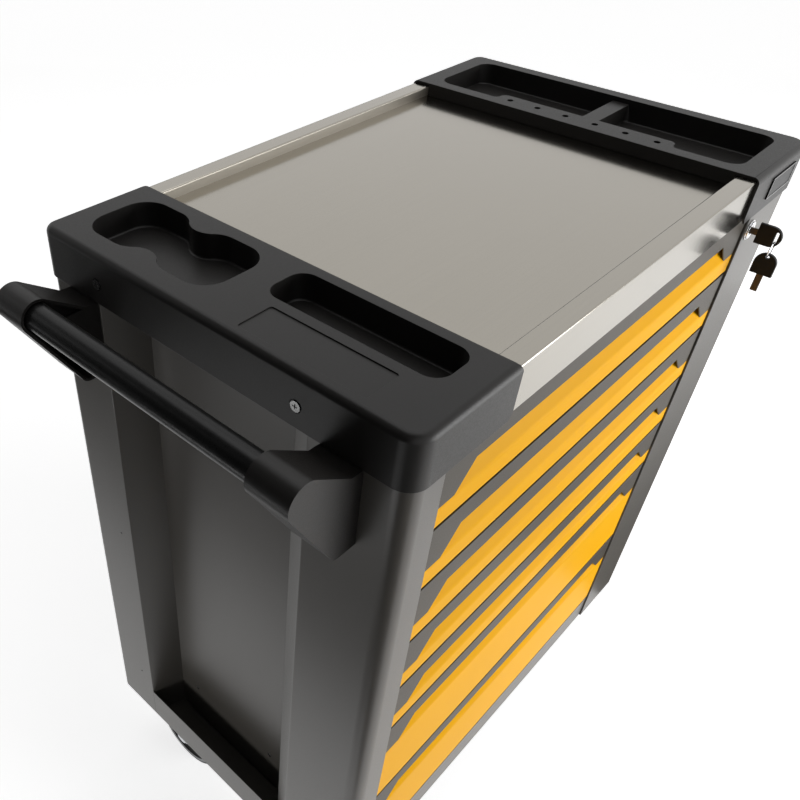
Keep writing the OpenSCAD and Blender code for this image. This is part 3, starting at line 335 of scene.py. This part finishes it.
def capPiece(node, outerSign):
    lo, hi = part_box(node)
    outerX, innerX = (lo.x, hi.x) if outerSign < 0 else (hi.x, lo.x)
    floorLevel = hi.z - capWork["wellDepth"]

    # how far a point lies off the cap's outline, seen from above
    def offOutline(p):
        u = abs(p.x - outerX)
        for y, r, s in ((lo.y, capWork["cornerFront"], 1), (hi.y, capWork["cornerRear"], -1)):
            v = (p.y - y) * s
            if u < r and v < r:
                return abs(math.hypot(r - u, r - v) - r)
        return min(u, abs(p.y - lo.y), abs(p.y - hi.y))

    def onOutline(e):
        return all(offOutline(v.co) < capWork["outlineGap"] for v in e.verts)

    def wellCorner(e):
        inWell = all(v.co.z > floorLevel - near for v in e.verts)
        tall = along(e, 2) and e.calc_length() > capWork["turnHeight"]
        return inWell and tall and not e.is_convex and isFold(e, capWork["turnAngle"])

    def crownEdge(e):
        return atLevel(e, 2, hi.z) and onOutline(e) and not atLevel(e, 0, innerX)

    def innerTopEdge(e):
        return atLevel(e, 2, hi.z) and atLevel(e, 0, innerX)

    def rimEdge(e):
        return atLevel(e, 2, hi.z) and e.is_convex and not onOutline(e) and not atLevel(e, 0, innerX)

    def floorEdge(e):
        return not e.is_convex and atLevel(e, 2, floorLevel)

    def endEdge(e):
        return e.is_convex and along(e, 2) and e.calc_length() > capWork["endHeight"] and atLevel(e, 0, innerX)

    def footEdge(e):
        return atLevel(e, 2, lo.z) and onOutline(e)

    dressed(node, [(wellCorner, capWork["wellTurn"], 5), (crownEdge, capWork["crown"], 7),
                   (innerTopEdge, capWork["innerEnd"], 5), (rimEdge, capWork["wellRim"], 4),
                   (floorEdge, capWork["wellFloor"], 3), (endEdge, capWork["endEdge"], 2),
                   (footEdge, capWork["foot"], 2)])


capPiece("left_cap", -1)
capPiece("right_cap", 1)

plateWork = {"edge": 0.4 * mm, "rimDepth": 0.3 * mm}
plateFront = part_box("nameplate")[0].y


def plateFaces(f):
    return 1 if f.calc_center_median().y < plateFront + plateWork["rimDepth"] else 0


dressed("nameplate", [(isConvex, plateWork["edge"], 2)], [finishes["plate_black"], extra["plateRim"]], plateFaces)
dressed("cap_screws")
print("caps dressed")

handleWork = {"edge": 0.9 * mm}
dressed("handle_brackets", [(lambda e: e.is_convex and not along(e, 1), handleWork["edge"], 3)])
dressed("handle_bar")
dressed("handle_screws")
print("handle dressed")

drawerWork = {"bandBend": 3.0 * mm, "footBend": 1.2 * mm, "footZone": 4 * mm, "faceGap": 0.2 * mm,
              "gripEdge": 0.6 * mm}


def drawerPieces(name):
    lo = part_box(f"{name}_front")[0]

    def faceEdge(e):
        return along(e, 0) and e.is_convex and abs(middle(e).y - lo.y) < drawerWork["faceGap"]

    def bandEdge(e):
        return faceEdge(e) and middle(e).z > lo.z + drawerWork["footZone"]

    dressed(f"{name}_front", [(bandEdge, drawerWork["bandBend"], 4), (faceEdge, drawerWork["footBend"], 3)])
    dressed(f"{name}_grip", [(isConvex, drawerWork["gripEdge"], 2)], [extra["grip"]])
    dressed(f"{name}_box")
    dressed(f"{name}_slides")


for i in range(1, drawerCount + 1):
    drawerPieces(f"drawer_{i}")
dressed("slide_channels")
print("drawers dressed")

# lock and keys: black bows, dark blades, and a bright plug behind the barrel's front
lockWork = {"bowLength": 27 * mm, "bowGap": 0.2 * mm, "bowEdge": 0.5 * mm, "plugGap": 0.3 * mm,
            "spareBow": 27.5 * mm, "spareGap": 0.4 * mm, "barrelEdge": 0.35 * mm}
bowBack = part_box("key")[0].y + lockWork["bowLength"]
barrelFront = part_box("lock_barrel")[0].y
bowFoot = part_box("spare_key")[1].z - lockWork["spareBow"]


def keyFaces(f):
    y = f.calc_center_median().y
    if y < bowBack + lockWork["bowGap"]:
        return 0
    return 1 if y < barrelFront + lockWork["plugGap"] else 2


def spareFaces(f):
    return 1 if f.calc_center_median().z < bowFoot - lockWork["spareGap"] else 0


dressed("key", [(lambda e: e.is_convex and middle(e).y < bowBack, lockWork["bowEdge"], 2)],
        [finishes["key_black"], extra["keyBlade"], finishes["chrome"]], keyFaces)
dressed("spare_key", [(lambda e: e.is_convex and middle(e).z > bowFoot, lockWork["bowEdge"], 2)],
        [finishes["key_black"], extra["keyBlade"]], spareFaces)
dressed("key_ring")
dressed("lock_barrel", [(isConvex, lockWork["barrelEdge"], 2)])
dressed("lock_bar")
print("lock dressed")

casterWork = {"hubRadius": 47 * mm}


def wheelPiece(node):
    lo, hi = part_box(node)
    centre = (lo + hi) / 2
    across = 1 if hi.x - lo.x < hi.y - lo.y else 0

    def hubFaces(f):
        c = f.calc_center_median() - centre
        return 1 if math.hypot(c[across], c.z) < casterWork["hubRadius"] else 0

    dressed(node, (), [finishes["tyre"], extra["hub"]], hubFaces)


for node in ("caster_plates", "fixed_forks", "swivel_fork_front", "swivel_fork_rear", "brake_front", "brake_rear"):
    dressed(node)
for node in ("wheel_front_left", "wheel_rear_left", "wheel_front_right", "wheel_rear_right"):
    wheelPiece(node)
print("casters dressed")

# the floor glows more with distance; the flags are dark sheets, hidden from the camera, that shape reflections
stageSet = {"floorSize": 14.0, "floorTone": (0.80, 0.80, 0.80), "floorCloud": 0.02, "floorCloudScale": 1.5,
            "floorRough": 0.85, "floorSpec": 0.1, "floorGlow": (0.75, 0.90), "glowReach": (0.5, 1.7),
            "sky": 1.0, "fill": 0.07, "flagTone": ((0.012, 0.012, 0.012), (0.02, 0.02, 0.02)),
            "flagCloudScale": 2, "flagRough": 0.9}
flagSet = [{"name": "wallFlag", "place": (-2.5, 0.9, 1.5), "size": (5.0, 2.6), "turn": (90, 0, 90)},
           {"name": "highFlag", "place": (-1.7, 0.6, 3.2), "size": (2.2, 5.0), "turn": (180, 0, 0)},
           {"name": "backFlag", "place": (2.6, 2.3, 0.75), "size": (4.6, 1.5), "turn": (90, 0, -49)},
           {"name": "cornerFlag", "place": (-1.0, -1.0, 0.013), "size": (1.1, 1.3), "turn": (0, 0, 0)},
           {"name": "lowFlag", "place": (-1.77, 0.6, 0.012), "size": (2.2, 3.2), "turn": (0, 0, 0)},
           {"name": "rightFlag", "place": (1.2, -0.33, 0.012), "size": (1.4, 0.34), "turn": (0, 0, 0)}]


# camera, glossy and see-through rays see the white; the rest is lit by the fill
def seenRays(tree):
    path = tree.nodes.new("ShaderNodeLightPath")
    rays = path.outputs["Is Camera Ray"]
    for ray in ("Is Glossy Ray", "Is Transmission Ray"):
        most = tree.nodes.new("ShaderNodeMath")
        most.operation = "MAXIMUM"
        tree.links.new(rays, most.inputs[0])
        tree.links.new(path.outputs[ray], most.inputs[1])
        rays = most.outputs[0]
    return rays


def stageSheet(name, size, mat):
    bm = bmesh.new()
    bmesh.ops.create_grid(bm, x_segments=6, y_segments=6, size=0.5)
    bmesh.ops.scale(bm, vec=(size[0], size[1], 1), verts=bm.verts)
    mesh = bpy.data.meshes.new(name)
    bm.to_mesh(mesh)
    bm.free()
    mesh.materials.append(mat)
    sheet = bpy.data.objects.new(name, mesh)
    scene.collection.objects.link(sheet)
    return sheet


def floorMaterial():
    mat, tree, shader, coords = newMaterial("paleFloor")
    cloud = rangeNode(tree, noiseNode(tree, coords, stageSet["floorCloudScale"]), 0, 1)
    tone = toneNode(tree, cloud, shade(stageSet["floorTone"], 1 - stageSet["floorCloud"]), stageSet["floorTone"])
    tree.links.new(tone, shader.inputs["Base Color"])
    shader.inputs["Roughness"].default_value = stageSet["floorRough"]
    shader.inputs["Specular IOR Level"].default_value = stageSet["floorSpec"]
    shader.inputs["Emission Color"].default_value = white
    away = tree.nodes.new("ShaderNodeVectorMath")
    away.operation = "LENGTH"
    tree.links.new(coords.outputs["Object"], away.inputs[0])
    glow = tree.nodes.new("ShaderNodeMath")
    glow.operation = "MULTIPLY"
    tree.links.new(seenRays(tree), glow.inputs[0])
    level = rangeNode(tree, away.outputs["Value"], *stageSet["floorGlow"], *stageSet["glowReach"])
    tree.links.new(level, glow.inputs[1])
    tree.links.new(glow.outputs[0], shader.inputs["Emission Strength"])
    return mat


def flagMaterial():
    mat, tree, shader, coords = newMaterial("darkFlag")
    cloud = rangeNode(tree, noiseNode(tree, coords, stageSet["flagCloudScale"]), 0, 1)
    tree.links.new(toneNode(tree, cloud, *stageSet["flagTone"]), shader.inputs["Base Color"])
    shader.inputs["Roughness"].default_value = stageSet["flagRough"]
    return mat


stageSheet("floor", (stageSet["floorSize"],) * 2, floorMaterial())
darkFlag = flagMaterial()
for s in flagSet:
    flag = stageSheet(s["name"], s["size"], darkFlag)
    flag.location = s["place"]
    flag.rotation_euler = [math.radians(a) for a in s["turn"]]
    flag.visible_camera = False
    flag.visible_shadow = False

world = bpy.data.worlds.new("studio")
scene.world = world
world.use_nodes = True
sky = world.node_tree
seen = sky.nodes["Background"]
seen.inputs["Color"].default_value = white
seen.inputs["Strength"].default_value = stageSet["sky"]
fill = sky.nodes.new("ShaderNodeBackground")
fill.inputs["Color"].default_value = white
fill.inputs["Strength"].default_value = stageSet["fill"]
mixWorld = sky.nodes.new("ShaderNodeMixShader")
sky.links.new(seenRays(sky), mixWorld.inputs["Fac"])
sky.links.new(fill.outputs["Background"], mixWorld.inputs[1])
sky.links.new(seen.outputs["Background"], mixWorld.inputs[2])
sky.links.new(mixWorld.outputs["Shader"], sky.nodes["World Output"].inputs["Surface"])

lampSet = [
    {"name": "frontBox", "place": (1.3, -2.45, 0.70), "aim": (0.0, 0.0, 0.40), "size": (2.2, 1.8), "power": 79},
    {"name": "sideBox", "place": (-2.6, -0.7, 1.7), "aim": (0.0, 0.0, 0.6), "size": (1.6, 1.6), "power": 0.6},
    {"name": "topBox", "place": (0.2, 0.3, 3.0), "aim": (0.0, 0.0, 0.9), "size": (2.0, 2.0), "power": 14},
    {"name": "lowBox", "place": (-1.2, 0.25, 0.06), "aim": (-0.34, 0.2, 0.15), "size": (1.2, 0.4), "power": 4.6}]
for s in lampSet:
    lampData = bpy.data.lights.new(s["name"], "AREA")
    lampData.shape = "RECTANGLE"
    lampData.size, lampData.size_y = s["size"]
    lampData.energy = s["power"]
    lamp = bpy.data.objects.new(s["name"], lampData)
    scene.collection.objects.link(lamp)
    lamp.location = s["place"]
    lamp.rotation_euler = (Vector(s["aim"]) - Vector(s["place"])).to_track_quat("-Z", "Y").to_euler()

# the photo's view as it was solved, turned in degrees; the shift moves the picture's centre
shot = {"place": (-0.72074, -0.42495, 1.33576), "turn": (49.4116, 0.0439, -44.6697), "lens": 37.0661, "sensor": 36,
        "shift": (0.18889, 0.03268), "nearest": 0.01}
cameraData = bpy.data.cameras.new("photoView")
cameraData.sensor_width = shot["sensor"]
cameraData.sensor_fit = "HORIZONTAL"
cameraData.lens = shot["lens"]
cameraData.shift_x, cameraData.shift_y = shot["shift"]
cameraData.clip_start = shot["nearest"]
camera = bpy.data.objects.new("photoView", cameraData)
scene.collection.objects.link(camera)
camera.location = shot["place"]
camera.rotation_euler = [math.radians(a) for a in shot["turn"]]
scene.camera = camera
scene.view_settings.view_transform = "Standard"
print("stage, light and camera set")

bpy.context.view_layer.update()
